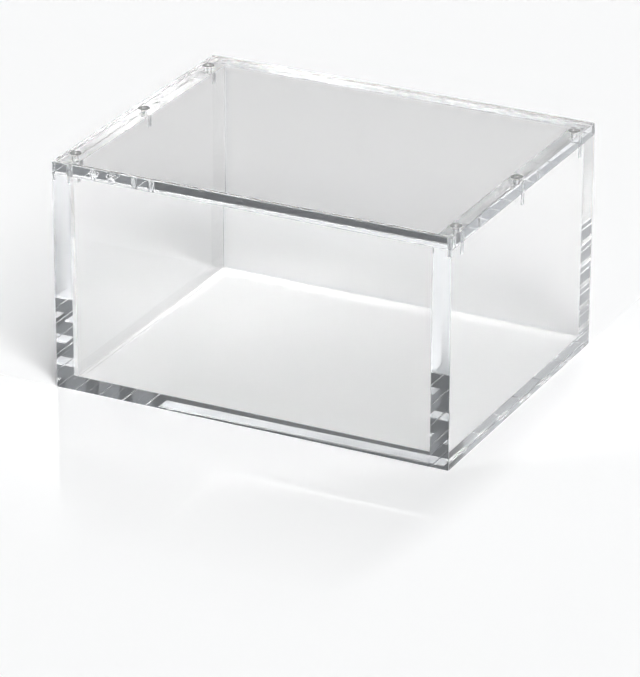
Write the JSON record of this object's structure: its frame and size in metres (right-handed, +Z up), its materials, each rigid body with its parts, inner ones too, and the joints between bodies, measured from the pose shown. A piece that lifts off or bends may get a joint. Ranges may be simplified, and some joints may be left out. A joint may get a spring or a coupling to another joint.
{
  "type": "storage box with lid",
  "caption": "Rectangular clear acrylic storage box of flat panels with thicker side walls and a flush flat lid held down by countersunk screws.",
  "frame": {"origin": "centre of the footprint, on the surface the box stands on", "axes": "+X to the right along the wide front wall, +Y from the front to the back, +Z up"},
  "size_m": [0.205, 0.16, 0.115],
  "materials": {
    "acrylic": "polished",
    "screw_steel": "satin"
  },
  "bodies": {
    "box": {"base": "acrylic", "front_wall": "acrylic", "back_wall": "acrylic", "left_wall": "acrylic", "right_wall": "acrylic"},
    "lid": {"lid": "acrylic"},
    "screw_left_front": {"screw_left_front": "screw_steel"},
    "screw_left_middle": {"screw_left_middle": "screw_steel"},
    "screw_left_back": {"screw_left_back": "screw_steel"},
    "screw_right_front": {"screw_right_front": "screw_steel"},
    "screw_right_middle": {"screw_right_middle": "screw_steel"},
    "screw_right_back": {"screw_right_back": "screw_steel"}
  },
  "joints": [
    {"name": "lid_lift", "type": "slide", "parent": "box", "child": "lid", "axis": [0, 0, 1], "range_m": [0, 0.13]},
    {"name": "screw_left_front_withdraw", "type": "slide", "parent": "lid", "child": "screw_left_front", "axis": [0, 0, 1], "range_m": [0, 0.02]},
    {"name": "screw_left_middle_withdraw", "type": "slide", "parent": "lid", "child": "screw_left_middle", "axis": [0, 0, 1], "range_m": [0, 0.02]},
    {"name": "screw_left_back_withdraw", "type": "slide", "parent": "lid", "child": "screw_left_back", "axis": [0, 0, 1], "range_m": [0, 0.02]},
    {"name": "screw_right_front_withdraw", "type": "slide", "parent": "lid", "child": "screw_right_front", "axis": [0, 0, 1], "range_m": [0, 0.02]},
    {"name": "screw_right_middle_withdraw", "type": "slide", "parent": "lid", "child": "screw_right_middle", "axis": [0, 0, 1], "range_m": [0, 0.02]},
    {"name": "screw_right_back_withdraw", "type": "slide", "parent": "lid", "child": "screw_right_back", "axis": [0, 0, 1], "range_m": [0, 0.02]}
  ]
}
